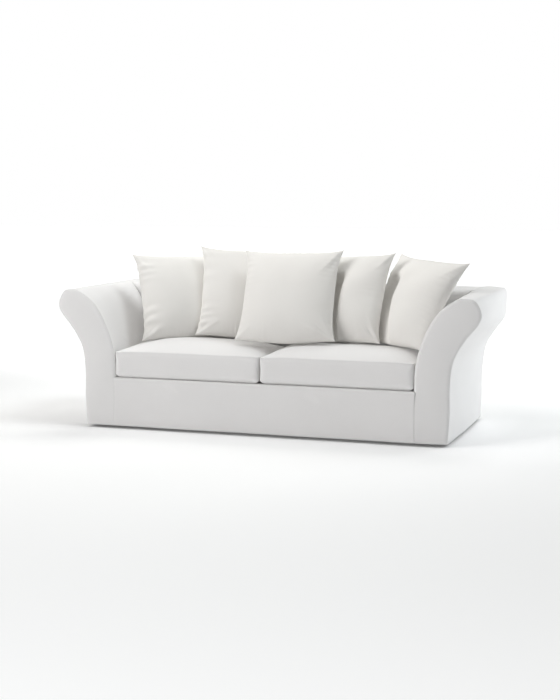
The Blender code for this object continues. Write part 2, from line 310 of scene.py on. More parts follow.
def cotton(name, light, shade, sheen):
    """Plain woven cotton: threads over and under each other, slubs and a faint uneven tone."""
    paint = Paint(name)
    cloth = paint.node("ShaderNodeUVMap", {"uv_map": "cloth"}).outputs["UV"]
    split = paint.node("ShaderNodeSeparateXYZ", None, {0: cloth})
    across = Wire(paint, split.outputs["X"]) * (math.pi / THREAD_PITCH)
    along = Wire(paint, split.outputs["Y"]) * (math.pi / THREAD_PITCH)
    weave = across.sine() * along.sine()
    slub_across = paint.noise(paint.stretched(cloth, (SLUBS_ALONG, SLUBS_ACROSS, 1.0)), 1.0, 3.0)
    slub_along = paint.noise(paint.stretched(cloth, (SLUBS_ACROSS, SLUBS_ALONG, 1.0)), 1.0, 3.0)
    slubs = slub_across + slub_along - 1.0
    tone = paint.noise(cloth, TONE_PATCHES, 3.0)
    share = (tone * TONE_GAIN - TONE_SHIFT + slubs * SLUB_TONE).at_least(0.0).at_most(1.0)
    height = weave * WEAVE_RELIEF + slubs * SLUB_RELIEF
    relief = {"Strength": 0.35, "Distance": WEAVE_DEPTH, "Height": height}
    return paint.finish(
        {
            "Base Color": paint.blend(share, shade, light),
            "Roughness": ROUGHNESS - weave.absolute() * WEAVE_ROUGHNESS,
            "Normal": paint.node("ShaderNodeBump", None, relief).outputs["Normal"],
            "Sheen Weight": sheen,
            "Sheen Roughness": 0.5,
            "IOR": 1.4,
            "Specular IOR Level": 0.25,
        }
    )


COVER = cotton("cover cotton", (0.855, 0.845, 0.84, 1.0), (0.815, 0.805, 0.80, 1.0), 0.15)
SCATTER = cotton("scatter cotton", (0.85, 0.835, 0.805, 1.0), (0.81, 0.79, 0.76, 1.0), 0.2)


# --- Cloth panels


def arc_lengths(grid, axis):
    """How far each point of a grid is along its row or column, on the cloth."""
    steps = np.linalg.norm(np.diff(grid, axis=axis), axis=2)
    shape = list(grid.shape[:2])
    shape[axis] = 1
    return np.concatenate([np.zeros(shape), np.cumsum(steps, axis=axis)], axis=axis)


def grid_normals(grid):
    """The direction away from each point of a grid, to the side that its faces show."""
    down = np.gradient(grid, axis=0)
    across = np.gradient(grid, axis=1)
    normals = np.cross(across, down)
    return normals / np.maximum(np.linalg.norm(normals, axis=2), TINY)[:, :, None]


def distance_to_path(points, path):
    """The distance from each point to a path of straight stretches, and how far along it is."""
    best = np.full(points.shape[:-1], np.inf)
    place = np.zeros(points.shape[:-1])
    path = np.asarray(path, float)
    stretches = len(path) - 1
    for index, (start, end) in enumerate(zip(path, path[1:])):
        run = end - start
        share = np.clip((points - start) @ run / max(run @ run, TINY), 0, 1)
        apart = np.linalg.norm(points - (start + share[..., None] * run), axis=-1)
        nearer = apart < best
        best = np.where(nearer, apart, best)
        place = np.where(nearer, (index + share) / stretches, place)
    return best, place


CREASE_ENDS = 0.7  # how blunt the two ends of a crease are: 1 for a sine, 0 for a sudden end


def crease(grid, normals, path, width, depth):
    """Moves the cloth near a path out, or in where depth is below nothing, fading at its ends."""
    apart, place = distance_to_path(grid, path)
    ends = np.sin(math.pi * np.clip(place, 0.0, 1.0)) ** CREASE_ENDS
    shape = np.exp(-((apart / width) ** 2))
    return normals * (depth * shape * ends)[..., None]


def creased(grid, creases, flip=False):
    """A grid of cloth with soft troughs and ridges along the paths of a table."""
    normals = grid_normals(grid) * (-1 if flip else 1)
    moved = grid.copy()
    for _, path, width, depth in creases:
        moved = moved + crease(grid, normals, path, width, depth)
    return moved


HEM_HEIGHT = 0.065  # how high above the hem the cloth starts to draw in
HEM_PULL = 0.007  # and how far it has come in at the hem
HEM_FADE = 0.08  # depth over which that fades along the sides
ARM_WIDTH = 0.33  # from the skirt's end to the arm's outer side
ARM_RECESS = 0.026  # how far the right arm's front is turned back at its outer side
ARM_RECESS_BEND = 0.4  # how much of that comes only near its outer side
ARM_RECESS_FADE = 0.30  # depth over which that fades along the arm
SLACK = 0.0022  # size of the cloth's slow waves, as a share of their length
SLACK_LENGTHS = (0.55, 0.27, 0.13)
SLACK_SEED = 4


def slow_waves(seed):
    """Directions, lengths, phases and pushes of waves that cross one another."""
    random = np.random.default_rng(seed)
    waves = []
    for length in SLACK_LENGTHS * 3:
        across, push = random.normal(size=(2, 3))
        turn = 2 * math.pi / length * across / np.linalg.norm(across)
        waves.append((turn, random.uniform(0, 2 * math.pi), push / np.linalg.norm(push) * length))
    return waves


COVER_WAVES = slow_waves(SLACK_SEED)


def hung(grid):
    """Cloth of the cover as it hangs: drawn in at the hem, and nowhere perfectly flat."""
    low = np.clip(1 - grid[..., 2] / HEM_HEIGHT, 0, 1) ** 2
    front = np.clip(1 - (grid[..., 1] - FRONT) / HEM_FADE, 0, 1)
    rear = np.clip(1 - (REAR - grid[..., 1]) / HEM_FADE, 0, 1)
    moved = grid.copy()
    for turn, phase, push in COVER_WAVES:
        moved += np.sin(grid @ turn + phase)[..., None] * push * SLACK
    outer = np.clip((grid[..., 0] - SKIRT_HALF) / ARM_WIDTH, 0, 1)
    near = np.clip(1 - (grid[..., 1] - FRONT) / ARM_RECESS_FADE, 0, 1)
    turned = (1 - ARM_RECESS_BEND) * outer + ARM_RECESS_BEND * outer**2
    moved[..., 1] += HEM_PULL * low * (front - rear)
    moved[..., 1] += ARM_RECESS * turned * near
    above_hem = np.clip(grid[..., 2] / HEM_HEIGHT, 0, 1)
    moved[..., 2] = grid[..., 2] + (moved[..., 2] - grid[..., 2]) * above_hem
    return moved


def mesh_from_grid(name, grid, keep=None, flip=False, uv=None):
    """A mesh through a grid of points, with the cloth's own lengths as its UV map."""
    rows, columns = grid.shape[:2]
    index = np.arange(rows * columns).reshape(rows, columns)
    a, b = index[:-1, :-1], index[:-1, 1:]
    c, d = index[1:, 1:], index[1:, :-1]
    quads = np.stack([a, b, c, d] if not flip else [d, c, b, a], axis=-1)
    if keep is not None:
        quads = quads[keep]
    quads = quads.reshape(-1, 4)
    used = np.unique(quads)
    renumber = np.zeros(rows * columns, int)
    renumber[used] = np.arange(len(used))
    mesh = bpy.data.meshes.new(name)
    mesh.from_pydata(grid.reshape(-1, 3)[used].tolist(), [], renumber[quads].tolist())
    if uv is None:
        uv = np.stack([arc_lengths(grid, 1), arc_lengths(grid, 0)], axis=-1)
    layer = mesh.uv_layers.new(name="cloth")
    layer.data.foreach_set("uv", uv.reshape(-1, 2)[quads.reshape(-1)].astype(np.float32).ravel())
    mesh.shade_smooth()
    return mesh


def linked(name, data):
    """A new object of the scene."""
    made = bpy.data.objects.new(name, data)
    bpy.context.scene.collection.objects.link(made)
    return made


def link_piece(name, mesh, material):
    mesh.materials.append(material)
    return linked(name, mesh)


def hand_over(piece, node):
    """Puts a piece on the body, in place of its plain solid."""
    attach(piece, BODY)
    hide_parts(node)


def cloth_panel(node, mesh):
    """A sewn panel of the cover in place of its plain solid."""
    piece = link_piece(node + "_cloth", mesh, COVER)
    wall = piece.modifiers.new("cloth", "SOLIDIFY")
    wall.thickness = CLOTH
    wall.offset = -1.0
    wall.use_even_offset = True
    hand_over(piece, node)
    return piece


def grid_panel(node, grid, keep=None, flip=False):
    """A sewn panel through a grid of points."""
    mesh = mesh_from_grid(node, grid, keep, flip)
    return cloth_panel(node, mesh)


# --- The arms

ARM_START = 0.0105  # how far behind the middle of its facing an arm's wrap starts
ARM_EDGE = 0.003  # radius of the round there
ARM_ROWS = 70
ARM_CROWDING = 1.4  # brings the rows closer together in front
ARM_REAR_ROWS = 24
ARM_CREASES = {
    # node: what it is, its path, its width and its height (below nothing for a trough)
    "arm_right": (
        ("across the top", ((1.03, 0.10, 0.735), (1.07, 0.17, 0.737), (1.10, 0.22, 0.735)),
         0.009, -0.003),
        ("beside it", ((1.01, 0.12, 0.733), (1.05, 0.19, 0.736), (1.08, 0.25, 0.735)),
         0.010, 0.002),
        ("round the roll", ((1.155, -0.440, 0.640), (1.165, -0.40, 0.665)), 0.008, 0.002),
    ),
    "arm_left": (
        ("across the top", ((-1.02, 0.06, 0.735), (-1.07, 0.14, 0.738)), 0.010, -0.002),
        ("low inside", ((-0.86, -0.30, 0.47), (-0.845, -0.24, 0.44)), 0.010, 0.002),
    ),
}


def arm_wrap(node, side):
    """The cloth round an arm, from behind its facing to the rear seam."""
    rows = []
    front = FRONT + ARM_START + ARM_EDGE
    for step in range(CURL_STEPS, 0, -1):
        inset, along = curl(step, ARM_EDGE)
        line = arm_line_inset(FRONT, inset)
        rows.append([(side * x, FRONT + ARM_START + along, z) for x, z in line])
    ends = [BACK_TOP_FRONT] * (TOP_SEAM + 1)
    ends += [arm_meets_back(c)[1] - SEAM_GAP for c in range(TOP_SEAM + 1, len(ARM_FRONT_LINE))]
    for share in np.linspace(0, 1, ARM_ROWS) ** ARM_CROWDING:
        row = []
        for column, end in enumerate(ends):
            y = front + (end - front) * share
            x, z = arm_line(y)[column]
            row.append((side * x, y, z))
        rows.append(row)
    to_back = len(rows)
    for y in np.linspace(BACK_TOP_FRONT, REAR - EDGE, ARM_REAR_ROWS)[1:]:
        rows.append([(side * x, y, z) for x, z in arm_line(y)])
    for step in range(1, CURL_STEPS + 1):
        inset, along = curl(step)
        line = arm_line_inset(REAR, inset)
        rows.append([(side * x, REAR - along, z) for x, z in line])
    grid = np.array(rows)
    grid[:, -1, 2] += SEAM_GAP
    keep = np.ones((len(rows) - 1, grid.shape[1] - 1), bool)
    keep[to_back - 1 :, TOP_SEAM:] = False
    grid = hung(creased(grid, ARM_CREASES[node], flip=side > 0))
    return grid_panel(node, grid, keep, flip=side > 0)


FACING_ROUND = ((0.090, 0.007), (0.014, 0.004))  # how far from its edge it turns back, and how much
FACING_SPLIT = 7 * OUTLINE_STEPS  # column of the outline where the facing's two sides meet
FACING_INSET = 0.0025  # how far in from the arm's outline it ends
FACING_ROWS = 170
FACING_COLUMNS = 36
FACING_EVEN = 0.5  # how evenly the columns are spread
MERGE_WITHIN = 0.00002


def resample(line, count):
    """Points spread evenly along a line."""
    lengths = np.concatenate([[0], np.cumsum(np.linalg.norm(np.diff(line, axis=0), axis=1))])
    places = np.linspace(0, lengths[-1], count)
    return np.stack([np.interp(places, lengths, line[:, axis]) for axis in (0, 1)], axis=1)


def facing_grid(side):
    """The shaped front of an arm, from its inner edge to its outer one, with edges turned back."""
    line = arm_line_inset(FRONT, FACING_INSET)
    foot = SKIRT_HALF + SEAM_GAP
    outer = resample(line[: FACING_SPLIT + 1], FACING_ROWS)
    inner_edge = line[FACING_SPLIT:][::-1]
    inner_side = np.vstack([[(foot, 0.0), (foot, DECK - SEAM_GAP)], inner_edge])
    inner = resample(inner_side, FACING_ROWS)
    shares = even_then_close(FACING_COLUMNS, FACING_EVEN) / 2 + 0.5
    flat = inner[:, None] * (1 - shares[None, :, None]) + outer[:, None] * shares[None, :, None]
    edge = np.vstack([outer, inner_edge[::-1]])
    apart, _ = distance_to_path(flat, edge)
    back = sum(depth * np.clip(1 - apart / reach, 0, 1) ** 2 for reach, depth in FACING_ROUND)
    return np.stack([side * flat[..., 0], FRONT + back, flat[..., 1]], axis=-1)


def arm_facing(node, side):
    """The shaped panel on the front of an arm."""
    grid = hung(facing_grid(side))
    mesh = mesh_from_grid(node, grid, flip=side < 0, uv=grid[:, :, [0, 2]])
    merge_close(mesh)
    return cloth_panel(node, mesh)


def merge_close(mesh):
    """Joins points that lie on one another, as at the ends of a facing."""
    work = bmesh.new()
    work.from_mesh(mesh)
    bmesh.ops.remove_doubles(work, verts=work.verts[:], dist=MERGE_WITHIN)
    work.to_mesh(mesh)
    work.free()


# --- Back, deck and front

BACK_TOP_ROWS, BACK_COLUMNS = 14, 120
OUTSIDE_ROWS, OUTSIDE_COLUMNS = 70, 130
SKIRT_ROWS, SKIRT_COLUMNS = 44, 260
DECK_ROWS, DECK_COLUMNS = 12, 40
CORNER_HEIGHT = 0.06  # over which the outside back follows the turn of the arms' top
SKIRT_CREASES = (
    # what it is, its path from the front as distance and height, its width and its height
    ("under the left cushion", ((-0.53, 0.252), (-0.485, 0.229), (-0.43, 0.198)), 0.016, 0.002),
    ("below it", ((-0.55, 0.235), (-0.49, 0.210), (-0.44, 0.180)), 0.018, -0.002),
    ("under the right cushion", ((0.25, 0.235), (0.305, 0.213), (0.36, 0.19)), 0.018, 0.002),
    ("below that", ((0.24, 0.212), (0.30, 0.190), (0.35, 0.165)), 0.02, -0.002),
    ("at the right end", ((0.71, 0.255), (0.76, 0.243), (0.81, 0.228)), 0.012, 0.0016),
    ("at the left end", ((-0.82, 0.255), (-0.78, 0.247), (-0.73, 0.24)), 0.010, 0.0014),
)


def across(profile, half_widths, columns):
    """A grid whose profile of depth and height keeps going across the cover."""
    shares = np.linspace(-1, 1, columns + 1)
    grid = np.zeros((len(profile), columns + 1, 3))
    for row, ((y, z), half) in enumerate(zip(profile, half_widths)):
        grid[row, :, 0] = shares * half
        grid[row, :, 1] = y
        grid[row, :, 2] = z
    return grid


def curls():
    """How far in and along a rounded edge has come at each of its steps."""
    return [curl(step) for step in range(1, CURL_STEPS + 1)]


def inside_back():
    """From the seat up between the arms, and over the top to the rear seam."""
    met = [arm_meets_back(column) for column in range(len(ARM_FRONT_LINE) - 1, TOP_SEAM, -1)]
    profile = [(y, z) for x, y, z in met]
    widths = [x + CLOTH for x, y, z in met[:-1]] + [met[-1][0] - SEAM_GAP]
    profile[0] = (profile[0][0], DECK + SEAM_GAP)
    top = [(y, TOP) for y in np.linspace(BACK_TOP_FRONT, REAR - EDGE, BACK_TOP_ROWS)]
    top += [(REAR - along, TOP - inset) for inset, along in curls()]
    profile += top
    widths += [ARM_REAR_LINE[TOP_SEAM][0] - SEAM_GAP] * len(top)
    return grid_panel("back_inside", hung(across(profile, widths, BACK_COLUMNS)))


def outside_back():
    """The flat back, as wide as the arms at each height and with their turn at its top corners."""
    half = arm_line_inset(REAR, PANEL_INSET)[: TOP_SEAM + 1]
    half[-1, 1] = TOP - PANEL_INSET
    heights = np.linspace(0, TOP - PANEL_INSET, OUTSIDE_ROWS)
    rising = half[: TOP_SEAM - OUTLINE_STEPS]
    widths = np.interp(heights, rising[:, 1], rising[:, 0])
    grid = across([(REAR, z) for z in heights], widths, OUTSIDE_COLUMNS)
    corner = half[TOP_SEAM - OUTLINE_STEPS :][::-1]
    edge = np.interp(np.abs(grid[-1, :, 0]), corner[:, 0], corner[:, 1]) - heights[-1]
    near_top = np.clip(1 - (heights[-1] - heights) / CORNER_HEIGHT, 0, 1)
    grid[:, :, 2] += near_top[:, None] * edge
    return grid_panel("back_outside", hung(grid), flip=True)


def front_panel():
    """The border below the seat cushions, down to the hem."""
    profile = [(FRONT, z) for z in np.linspace(0.0, DECK - EDGE, SKIRT_ROWS)]
    profile += [(FRONT + inset, DECK - along) for inset, along in curls()]
    grid = across(profile, [SKIRT_HALF] * len(profile), SKIRT_COLUMNS)
    creases = [
        (name, [(x, FRONT, z) for x, z in path], width, height)
        for name, path, width, height in SKIRT_CREASES
    ]
    return grid_panel("front_panel", hung(creased(grid, creases)))


def seat_deck():
    """The panel under the seat cushions, which hide it."""
    depths = np.linspace(FRONT + EDGE + SEAM_GAP, BACK_FOOT + CLOTH, DECK_ROWS)
    grid = across([(y, DECK) for y in depths], [SEAT_INSIDE + CLOTH] * DECK_ROWS, DECK_COLUMNS)
    return cloth_panel("seat_deck", mesh_from_grid("seat_deck", grid))


# --- Cushions


def closed_mesh(name, points, faces, uvs, crease_edges=()):
    """A smooth mesh with its UV map; its crease edges stay sharp when it is smoothed."""
    mesh = bpy.data.meshes.new(name)
    mesh.from_pydata(points, [], faces)
    layer = mesh.uv_layers.new(name="cloth")
    layer.data.foreach_set("uv", np.asarray(uvs, np.float32).ravel())
    if len(crease_edges):
        wanted = {tuple(sorted(edge)) for edge in crease_edges}
        sharp = [float(tuple(sorted(edge.vertices)) in wanted) for edge in mesh.edges]
        mesh.attributes.new("crease_edge", "FLOAT", "EDGE").data.foreach_set("value", sharp)
    mesh.shade_smooth()
    return mesh


def mesh_vectors(mesh, what="co"):
    """The places of a mesh's points, or their normals."""
    values = np.empty(len(mesh.vertices) * 3, np.float32)
    mesh.vertices.foreach_get(what, values)
    return values.reshape(-1, 3).astype(float)


def set_points(mesh, points):
    mesh.vertices.foreach_set("co", np.asarray(points, np.float32).ravel())
    mesh.update()


FILLING_FRAMES = 16
FILLING_CLOTH = {
    "quality": 6,
    "mass": 0.3,
    "tension_stiffness": 25,
    "compression_stiffness": 25,
    "shear_stiffness": 8,
    "bending_stiffness": 0.3,
    "tension_damping": 10,
    "compression_damping": 10,
    "shear_damping": 10,
    "air_damping": 2,
    "use_pressure": True,
    "vertex_group_mass": "held",
}


def fill_up(name, mesh, held, pressure, reach):
    """Blows a sewn cushion up as its filling does; no point moves further than the reach."""
    cover = linked(name, mesh)
    cover.vertex_groups.new(name="held").add([int(i) for i in held], 1.0, "REPLACE")
    sim = cover.modifiers.new("filling", "CLOTH")
    for setting, value in FILLING_CLOTH.items():
        setattr(sim.settings, setting, value)
    sim.settings.uniform_pressure_force = pressure
    sim.settings.effector_weights.gravity = 0
    sim.collision_settings.use_collision = False
    sim.point_cache.frame_end = FILLING_FRAMES
    for number in range(1, FILLING_FRAMES + 1):
        bpy.context.scene.frame_set(number)
    depsgraph = bpy.context.evaluated_depsgraph_get()
    blown = bpy.data.meshes.new_from_object(cover.evaluated_get(depsgraph))
    start, end = mesh_vectors(mesh), mesh_vectors(blown)
    bpy.data.objects.remove(cover)
    bpy.context.scene.frame_set(1)
    moved = end - start
    far = np.linalg.norm(moved, axis=1)
    kept = reach * np.tanh(far / reach) / np.maximum(far, TINY)
    set_points(mesh, start + moved * kept[:, None])


WANDER_RATES = (0.6, 1.0)
WANDER_WEIGHTS = (0.5, 1.0)


def uneven(seed, count, spread):
    """Values that wander smoothly between -1 and 1 along a line of 0 to 1, as a function."""
    random = np.random.default_rng(seed)
    phases = random.uniform(0, 2 * math.pi, count)
    rates = random.uniform(*WANDER_RATES, count) * spread
    weights = random.uniform(*WANDER_WEIGHTS, count)

    def at(share):
        waves = [w * np.sin(2 * math.pi * r * share + p) for w, r, p in zip(weights, rates, phases)]
        return sum(waves) / weights.sum()

    return at


def finish_cushion(node, mesh, material):
    """A filled cushion in place of its plain solid."""
    piece = link_piece(node + "_filled", mesh, material)
    soft = piece.modifiers.new("soft", "SUBSURF")
    soft.levels = soft.render_levels = 1
    hand_over(piece, node)
    return piece


# --- scatter cushions

SCATTER_STEPS = 68
SCATTER_EVEN = 0.86  # how evenly those are spread
UV_APART = 1.1  # from one side's part of the UV map to the next
FILL_SQUARE = 2.2  # how square the filled part is
FILL_ROUND = 0.55  # and how soon it is full behind its seam
SEWN_FRONT = 0.93  # thickness before it is filled up, as a share of the full one
SEWN_BACK = 0.90
SCATTER_PRESSURE = 3.0
SCATTER_REACH = 0.010
PUCKER_REACH = 0.024  # how far in from its seam a pucker is highest
PUCKER_WANDER = 1.4  # how unevenly they are spaced
PUCKER_SPACING = (5, 2.5)  # number and rate of the waves in their spacing
PUCKER_SWELL = (4, 1.8)  # and in their size
PUCKER_ENDS = 0.3  # how bluntly they end at the ears
SEAM_WOBBLE = 0.12  # how much of a pucker the seam itself follows
DENT_WAVES = 9
DENT_RATES = (1.2, 3.2)
DENT_FULL = 3  # how soon the dents reach their depth behind the seams
PRESSED_REACH = 0.12  # over which a pressed front rises again, as a share of half the width
PRESSED_UP_TO = 0.50  # the height below which it is pressed, as a share of half its own
PRESSED_FADE = 0.26
SCATTER_FINISH = {
    # name: slump, sag of the lower edge, seed and the depth of the dents
    "back_cushion_1": (0.20, 0.022, 11, 0.0022),
    "back_cushion_2": (0.20, 0.028, 12, 0.0022),
    "back_cushion_3": (0.20, 0.040, 13, 0.0020),
    "back_cushion_4": (0.20, 0.022, 14, 0.0026),
    "back_cushion_5": (0.20, 0.026, 15, 0.0022),
}
PUCKERS = {
    # name: height and number of the puckers along the right, left, top and bottom seams
    "back_cushion_1": ((0.0010, 15), (0.0075, 7), (0.001, 13), (0.0020, 17)),
    "back_cushion_2": ((0.0010, 15), (0.0060, 7), (0.001, 14), (0.0020, 15)),
    "back_cushion_3": ((0.0016, 13), (0.0014, 14), (0.001, 12), (0.0014, 14)),
    "back_cushion_4": ((0.0016, 16), (0.0018, 14), (0.001, 13), (0.0024, 15)),
    "back_cushion_5": ((0.0022, 17), (0.0014, 12), (0.001, 12), (0.0020, 14)),
}
EAR_FOLDS = {
    # name: rows of corner side, corner end, degrees off the diagonal, length, width, height
    "back_cushion_1": (
        (-1, 1, 22, 0.16, 0.012, 0.005),
        (-1, 1, 38, 0.12, 0.008, -0.004),
        (-1, -1, -18, 0.14, 0.011, 0.005),
        (-1, -1, -2, 0.12, 0.009, -0.003),
    ),
    "back_cushion_2": (
        (-1, 1, 24, 0.13, 0.011, 0.005),
        (-1, 1, 6, 0.12, 0.009, -0.003),
        (-1, -1, -16, 0.15, 0.011, 0.005),
        (-1, -1, 4, 0.12, 0.009, -0.003),
    ),
    "back_cushion_3": (
        (1, 1, 14, 0.20, 0.013, 0.004),
        (1, 1, 30, 0.16, 0.011, -0.004),
        (1, -1, -20, 0.20, 0.012, 0.005),
        (1, -1, -6, 0.16, 0.010, -0.004),
        (1, -1, 16, 0.15, 0.010, 0.003),
        (-1, -1, -10, 0.12, 0.011, 0.004),
    ),
    "back_cushion_4": (
        (1, 1, 18, 0.16, 0.012, 0.004),
        (1, 1, 34, 0.13, 0.010, -0.004),
        (1, -1, 22, 0.14, 0.011, 0.006),
        (1, -1, 4, 0.13, 0.010, -0.004),
    ),
    "back_cushion_5": (
        (1, 1, 18, 0.16, 0.012, 0.004),
        (1, 1, 36, 0.13, 0.010, -0.003),
        (-1, 1, 16, 0.12, 0.011, 0.004),
        (-1, -1, -8, 0.12, 0.011, 0.004),
    ),
}
SEAM_PUSHES = {
    # name: where, over what share of half the width, and the push to the right, back and up
    "back_cushion_2": ((1, 1, 0.45, (-0.020, 0.004, -0.030)),),
    "back_cushion_5": ((-1, 0.45, 0.35, (-0.014, 0.0, 0.0)),),
}
PRESSED = {
    # name: the line up to which the front is pressed, at mid height and per height, and how much
    "back_cushion_4": (0.12, 0.0, 0.62),
    "back_cushion_5": (-0.28, -0.4, 0.60),
}


def envelope_lattice():
    """Numbers the points of two square layers that share the points along their seam."""
    shares = even_then_close(SCATTER_STEPS, SCATTER_EVEN)
    number = {}
    place = []
    for layer in (0, 1):
        for j, w in enumerate(shares):
            for i, u in enumerate(shares):
                on_seam = i in (0, SCATTER_STEPS) or j in (0, SCATTER_STEPS)
                if layer and on_seam:
                    number[layer, i, j] = number[0, i, j]
                    continue
                number[layer, i, j] = len(place)
                place.append((u, w, 0.0 if on_seam else (1.0 if layer else -1.0)))
    return number, np.array(place)


def envelope_faces(number):
    """Quads of both layers; at each ear the quad is split from the ear inwards."""
    faces, uvs = [], []
    shares = even_then_close(SCATTER_STEPS, SCATTER_EVEN)
    last = SCATTER_STEPS - 1
    for layer in (0, 1):
        for j in range(SCATTER_STEPS):
            for i in range(SCATTER_STEPS):
                around = [(i, j), (i + 1, j), (i + 1, j + 1), (i, j + 1)]
                if layer:
                    around.reverse()
                rounds = [around]
                if i in (0, last) and j in (0, last):
                    ear = (0 if i == 0 else SCATTER_STEPS, 0 if j == 0 else SCATTER_STEPS)
                    turn = around.index(ear)
                    a, b, c, d = around[turn:] + around[:turn]
                    rounds = [[a, b, c], [a, c, d]]
                for loop in rounds:
                    faces.append([number[layer, p, q] for p, q in loop])
                    for p, q in loop:
                        u = shares[p] * SCATTER_WIDTH / 2 + layer * SCATTER_WIDTH * UV_APART
                        uvs.append((u, shares[q] * SCATTER_HEIGHT / 2))
    return faces, uvs


def filled_square(place, front, back, fuller, slump, sag):
    """The points of a filled envelope: thick in the middle, drawn in between its ears."""
    u, w, side = place.T
    level = (1 - np.abs(u) ** FILL_SQUARE) * (1 - np.abs(w) ** FILL_SQUARE)
    level = np.clip(level, 0, 1) ** FILL_ROUND
    fullness = np.where(side > 0, back, -front * (1 + fuller * u)) * np.abs(side)
    fullness = fullness * (1 - slump * w * (1 - u**2))
    x = u * (1 - SIDES_IN * (1 - w**4)) * SCATTER_WIDTH / 2
    z = w * (1 - ENDS_IN * (1 - u**4)) * SCATTER_HEIGHT / 2
    z = z - sag * (1 - u**2) * np.clip(-w, 0, 1) ** 3
    return np.stack([x, fullness * level, z], axis=1)


def pushed_seam(name, place, points):
    """Points of a cushion pushed aside near a place of its seam, as where an ear is tucked in."""
    u, w, _ = place.T
    for at_u, at_w, spread, push in SEAM_PUSHES.get(name, ()):
        share = np.exp(-(((u - at_u) / spread) ** 2) - ((w - at_w) / spread) ** 2)
        points = points + share[:, None] * np.array(push)
    return points


def pressed_by_next(name, place, points):
    """Points with the front pressed back where the next cushion lies over it."""
    if name not in PRESSED:
        return points
    u, w, side = place.T
    start, slope, share = PRESSED[name]
    past = np.clip((start + slope * w + PRESSED_REACH / 2 - u) / PRESSED_REACH, 0, 1)
    below = np.clip((PRESSED_UP_TO - w) / PRESSED_FADE, 0, 1)
    past, below = (step * step * (3 - 2 * step) for step in (past, below))
    pressed = points.copy()
    pressed[:, 1] *= 1 - share * past * below * (side < 0)
    return pressed


def puckers(place, seed, rows):
    """How far the cloth rises and falls beside the seams, where the thread gathers it."""
    u, w, _ = place.T
    rise = np.zeros(len(place))
    for number, (near, along) in enumerate(((1 - u, w), (1 + u, w), (1 - w, u), (1 + w, u))):
        wander = uneven(seed * 10 + number, *PUCKER_SPACING)
        swell = uneven(seed * 10 + number + 5, *PUCKER_SWELL)
        share = (along + 1) / 2
        inward = near * SCATTER_WIDTH / 2
        height, waves = rows[number]
        wave = np.sin(2 * math.pi * (share * waves + wander(share) * PUCKER_WANDER))
        size = (0.5 + 0.5 * swell(share)) * np.clip(1 - along**2, 0, 1) ** PUCKER_ENDS
        fade = (inward / PUCKER_REACH + SEAM_WOBBLE) * np.exp(1 - inward / PUCKER_REACH)
        rise += height * wave * size * fade
    return rise


def soft_dents(place, seed, depth):
    """Broad, shallow unevenness of a stuffed cushion."""
    u, w, _ = place.T
    random = np.random.default_rng(seed)
    dents = np.zeros(len(place))
    for _ in range(DENT_WAVES):
        angle = random.uniform(0, math.pi)
        rate = random.uniform(*DENT_RATES)
        phase = random.uniform(0, 2 * math.pi)
        dents += np.sin(rate * (u * math.cos(angle) + w * math.sin(angle)) * math.pi + phase)
    calm = np.clip((1 - u**2) * (1 - w**2) * DENT_FULL, 0, 1)
    return depth * dents / math.sqrt(DENT_WAVES) * calm


def ear_folds(place, folds):
    """How far the front rises and falls in the soft folds that run in from its ears."""
    u, w, side = place.T
    rise = np.zeros(len(place))
    for corner_u, corner_w, angle, length, width, height in folds:
        away_u = (corner_u - u) * corner_u * SCATTER_WIDTH / 2
        away_w = (corner_w - w) * corner_w * SCATTER_HEIGHT / 2
        turn = math.pi / 4 + math.radians(angle)
        along = away_u * math.cos(turn) + away_w * math.sin(turn)
        beside = -away_u * math.sin(turn) + away_w * math.cos(turn)
        share = np.clip(along / length, 0, 1)
        rise += height * np.exp(-((beside / width) ** 2)) * np.sin(math.pi * share) * (side < 0)
    return rise


def scatter_cushion(name, middle, turn, lean, roll, front, back, fuller):
    """A filled square with its puckers, dents and folds, set down where it leans."""
    slump, sag, seed, dents = SCATTER_FINISH[name]
    number, place = envelope_lattice()
    faces, uvs = envelope_faces(number)
    start = filled_square(place, front * SEWN_FRONT, back * SEWN_BACK, fuller, slump, sag)
    start = pushed_seam(name, place, start)
    mesh = closed_mesh(name + "_filled", start.tolist(), faces, uvs)
    ears = [number[0, i, j] for i in (0, SCATTER_STEPS) for j in (0, SCATTER_STEPS)]
    fill_up(name + "_sim", mesh, ears, SCATTER_PRESSURE, SCATTER_REACH)
    points = mesh_vectors(mesh)
    most = filled_square(place, front, back, fuller, 0.0, sag)[:, 1]
    thick = np.where(most < 0, most.min() / points[:, 1].min(), most.max() / points[:, 1].max())
    points[:, 1] *= thick
    set_points(mesh, pressed_by_next(name, place, points))
    rise = puckers(place, seed, PUCKERS[name]) + soft_dents(place, seed, dents)
    rise += ear_folds(place, EAR_FOLDS[name])
    points = mesh_vectors(mesh) + mesh_vectors(mesh, "normal") * rise[:, None]
    turns = zip("ZXY", (turn, lean, roll))
    turned, leaned, rolled = (Matrix.Rotation(math.radians(a), 3, axis) for axis, a in turns)
    rotation = np.array(turned @ leaned @ rolled)
    set_points(mesh, points @ rotation.T + np.array(middle))
    return finish_cushion(name, mesh, SCATTER)


def all_faces(pieces):
    """The faces of several pieces in one tree, to find where they are."""
    corners, faces = [], []
    for piece in pieces:
        faces += [[len(corners) + i for i in face.vertices] for face in piece.data.polygons]
        corners += [vertex.co.copy() for vertex in piece.data.vertices]
    return BVHTree.FromPolygons(corners, faces)


# --- seat cushions

